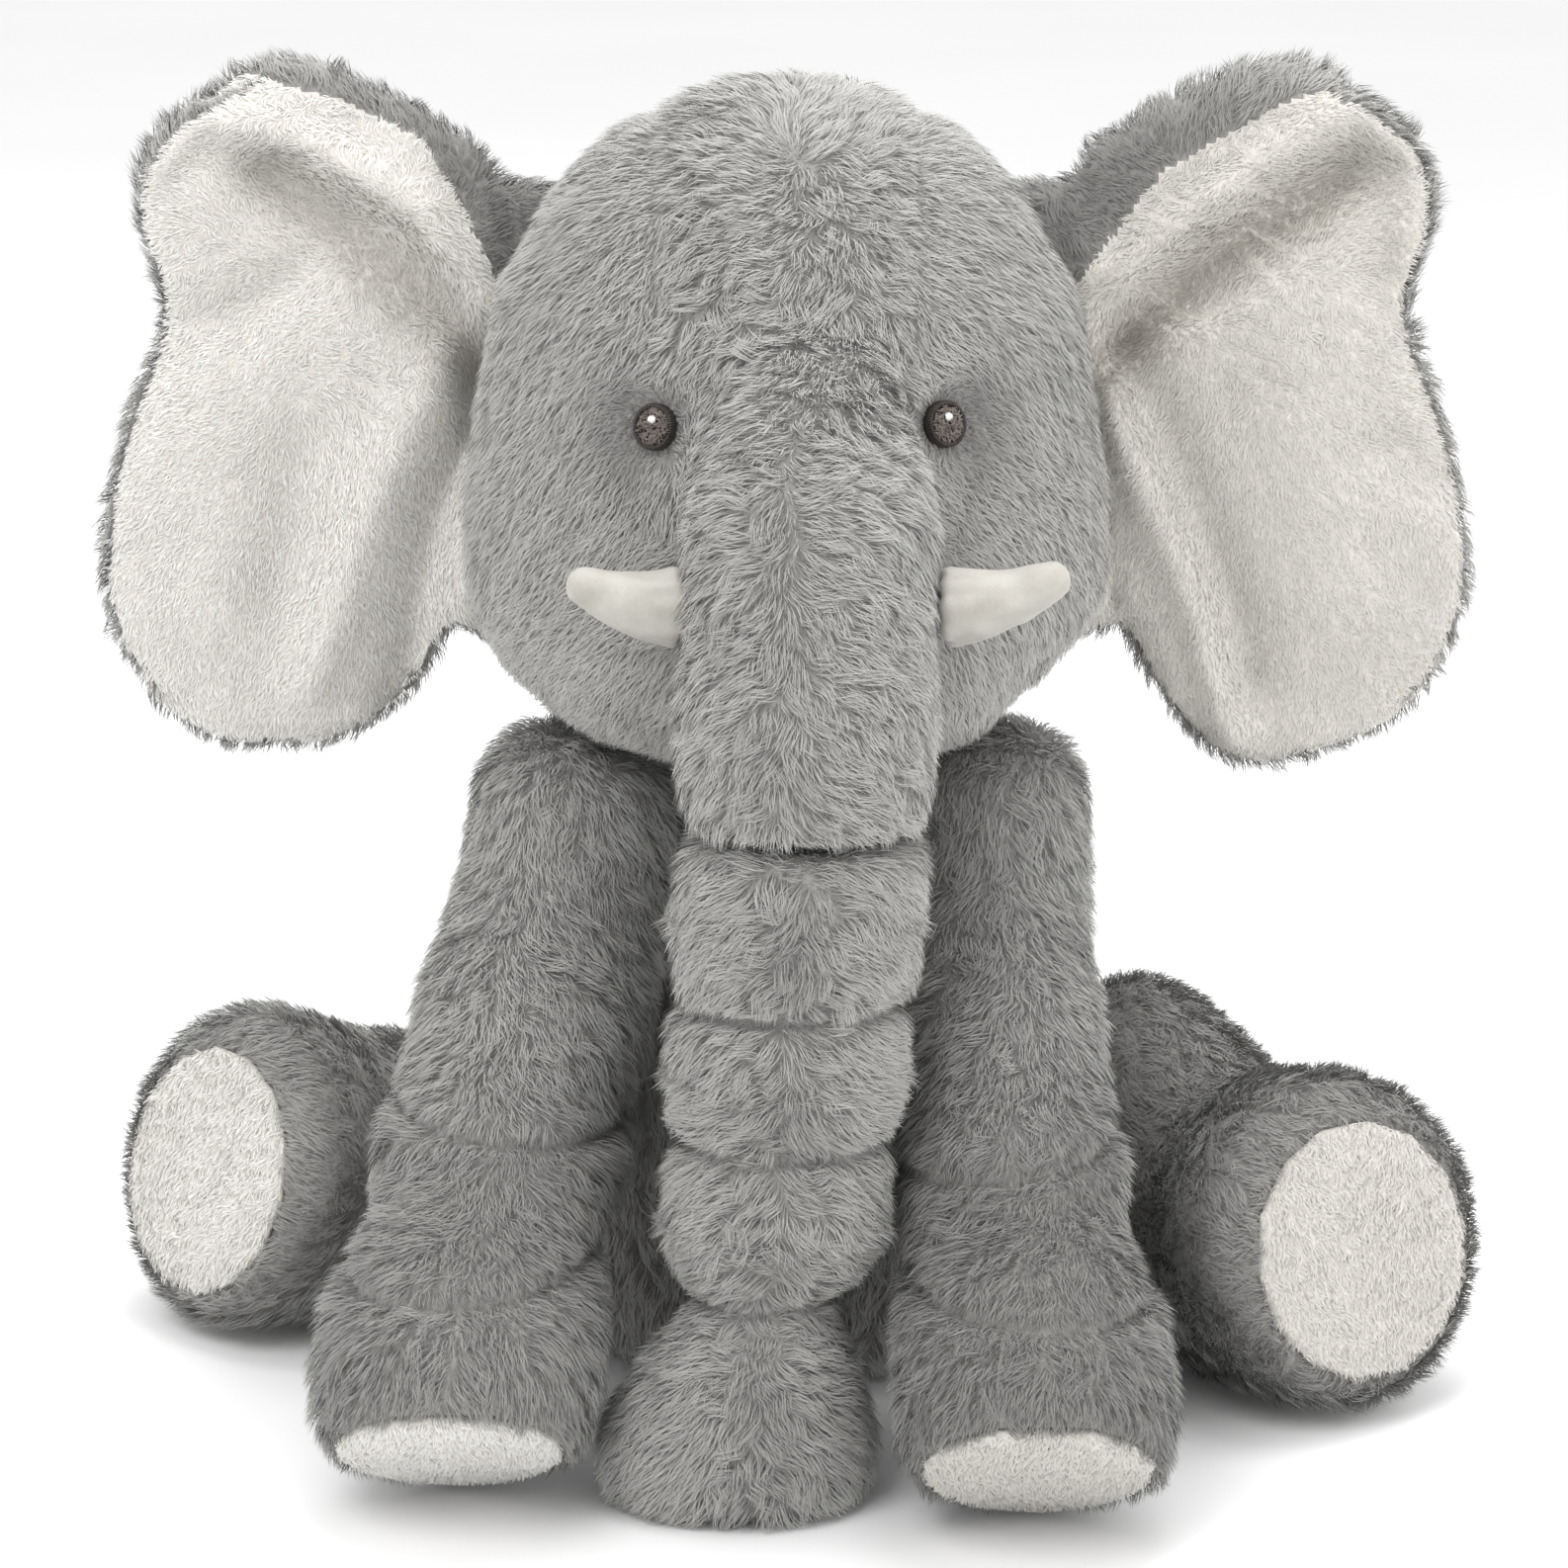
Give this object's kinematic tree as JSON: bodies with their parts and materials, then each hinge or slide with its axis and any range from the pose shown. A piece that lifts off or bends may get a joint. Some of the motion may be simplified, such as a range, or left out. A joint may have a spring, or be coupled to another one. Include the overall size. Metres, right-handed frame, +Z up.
{
  "type": "stuffed elephant",
  "caption": "Seated plush elephant with sewn skins over stuffing, flat ears, short tusks, jointed neck, ears, trunk, legs and tail.",
  "frame": {"origin": "on the underside of the flat seat panel, on the surface the toy sits on, below the neck", "axes": "+Z up, -Y the way the elephant faces, +X to the right of someone looking at its face"},
  "size_m": [0.3886, 0.2803, 0.365],
  "materials": {
    "grey_plush": "long pile plush, tips lighter than roots",
    "cream_minky": "short brushed pile",
    "cream_suede": "smooth brushed suede",
    "stuffing": "loose polyester fibre",
    "pellets": "cloth bag of plastic pellets",
    "brown_thread": "embroidery thread",
    "taupe_thread": "embroidery thread",
    "white_thread": "embroidery thread",
    "label_tape": "woven satin tape, blank"
  },
  "bodies": {
    "torso": {"torso_front_panel": "grey_plush", "torso_back_left_panel": "grey_plush", "torso_back_right_panel": "grey_plush", "seat_panel": "grey_plush", "torso_stuffing": "stuffing", "seat_pellet_bag": "pellets", "care_label": "label_tape"},
    "head": {"head_left_panel": "grey_plush", "head_right_panel": "grey_plush", "head_centre_gusset": "grey_plush", "head_stuffing": "stuffing", "trunk_root_skin": "grey_plush", "trunk_root_stuffing": "stuffing", "eye_left_iris": "taupe_thread", "eye_left_outline": "brown_thread", "eye_left_highlight": "white_thread", "eye_right_iris": "taupe_thread", "eye_right_outline": "brown_thread", "eye_right_highlight": "white_thread", "tusk_left": "cream_suede", "tusk_right": "cream_suede"},
    "ear_left": {"ear_left_root_seam": "grey_plush", "ear_left_back": "grey_plush", "ear_left_wadding": "stuffing", "ear_left_lining": "cream_minky"},
    "ear_right": {"ear_right_root_seam": "grey_plush", "ear_right_back": "grey_plush", "ear_right_wadding": "stuffing", "ear_right_lining": "cream_minky"},
    "trunk_1": {"trunk_1_skin": "grey_plush", "trunk_1_stuffing": "stuffing"},
    "trunk_2": {"trunk_2_skin": "grey_plush", "trunk_2_stuffing": "stuffing"},
    "trunk_3": {"trunk_3_skin": "grey_plush", "trunk_3_stuffing": "stuffing"},
    "trunk_4": {"trunk_4_skin": "grey_plush", "trunk_4_stuffing": "stuffing"},
    "front_leg_left": {"front_leg_left_skin": "grey_plush", "front_leg_left_foot_skin": "grey_plush", "front_leg_left_sole": "cream_minky", "front_leg_left_stuffing": "stuffing"},
    "hind_leg_left": {"hind_leg_left_skin": "grey_plush", "hind_leg_left_sole": "cream_minky", "hind_leg_left_stuffing": "stuffing"},
    "front_leg_right": {"front_leg_right_skin": "grey_plush", "front_leg_right_foot_skin": "grey_plush", "front_leg_right_sole": "cream_minky", "front_leg_right_stuffing": "stuffing"},
    "hind_leg_right": {"hind_leg_right_skin": "grey_plush", "hind_leg_right_sole": "cream_minky", "hind_leg_right_stuffing": "stuffing"},
    "tail": {"tail_skin": "grey_plush", "tail_tuft": "grey_plush"}
  },
  "joints": [
    {"name": "head_nod", "type": "hinge", "parent": "torso", "child": "head", "pos_m": [0, 0, 0.196], "axis": [-1, 0, 0], "range_deg": [0, 15]},
    {"name": "ear_left_flap", "type": "hinge", "parent": "head", "child": "ear_left", "pos_m": [-0.0855, 0.018, 0.218], "axis": [0.1819, 0.0197, 0.9831], "range_deg": [-15, 20], "stiffness_Nm_per_rad": 0.05},
    {"name": "ear_right_flap", "type": "hinge", "parent": "head", "child": "ear_right", "pos_m": [0.0865, 0.018, 0.218], "axis": [0.1819, -0.0197, -0.9831], "range_deg": [-15, 20], "stiffness_Nm_per_rad": 0.05},
    {"name": "trunk_curl_1", "type": "hinge", "parent": "head", "child": "trunk_1", "pos_m": [0.0062, -0.13536, 0.1855], "axis": [-1, 0, 0], "range_deg": [0, 14]},
    {"name": "trunk_curl_2", "type": "hinge", "parent": "trunk_1", "child": "trunk_2", "pos_m": [0.002, -0.13594, 0.1395], "axis": [-1, 0, 0], "range_deg": [0, 14]},
    {"name": "trunk_curl_3", "type": "hinge", "parent": "trunk_2", "child": "trunk_3", "pos_m": [0, -0.13568, 0.102], "axis": [-1, 0, 0], "range_deg": [0, 14]},
    {"name": "trunk_curl_4", "type": "hinge", "parent": "trunk_3", "child": "trunk_4", "pos_m": [-0.0055, -0.13138, 0.0585], "axis": [-1, 0, 0], "range_deg": [0, 14]},
    {"name": "shoulder_left", "type": "hinge", "parent": "torso", "child": "front_leg_left", "pos_m": [-0.0595, -0.024, 0.15], "axis": [-0.9056, 0.2999, -0.2999], "range_deg": [0, 30]},
    {"name": "shoulder_right", "type": "hinge", "parent": "torso", "child": "front_leg_right", "pos_m": [0.056, -0.024, 0.15], "axis": [-0.9056, -0.2999, 0.2999], "range_deg": [0, 30]},
    {"name": "hip_left", "type": "hinge", "parent": "torso", "child": "hind_leg_left", "pos_m": [-0.0855, 0.048, 0.04], "axis": [-0.454, 0.891, 0], "range_deg": [0, 18]},
    {"name": "hip_right", "type": "hinge", "parent": "torso", "child": "hind_leg_right", "pos_m": [0.089, 0.0205, 0.04], "axis": [-0.7431, -0.6691, 0], "range_deg": [0, 18]},
    {"name": "tail_lift", "type": "hinge", "parent": "torso", "child": "tail", "pos_m": [0, 0.088, 0.07], "axis": [1, 0, 0], "range_deg": [0, 60]}
  ],
  "couplings": [
    {"joint": "trunk_curl_2", "follows": "trunk_curl_1", "ratio": 1},
    {"joint": "trunk_curl_3", "follows": "trunk_curl_1", "ratio": 1},
    {"joint": "trunk_curl_4", "follows": "trunk_curl_1", "ratio": 1}
  ]
}
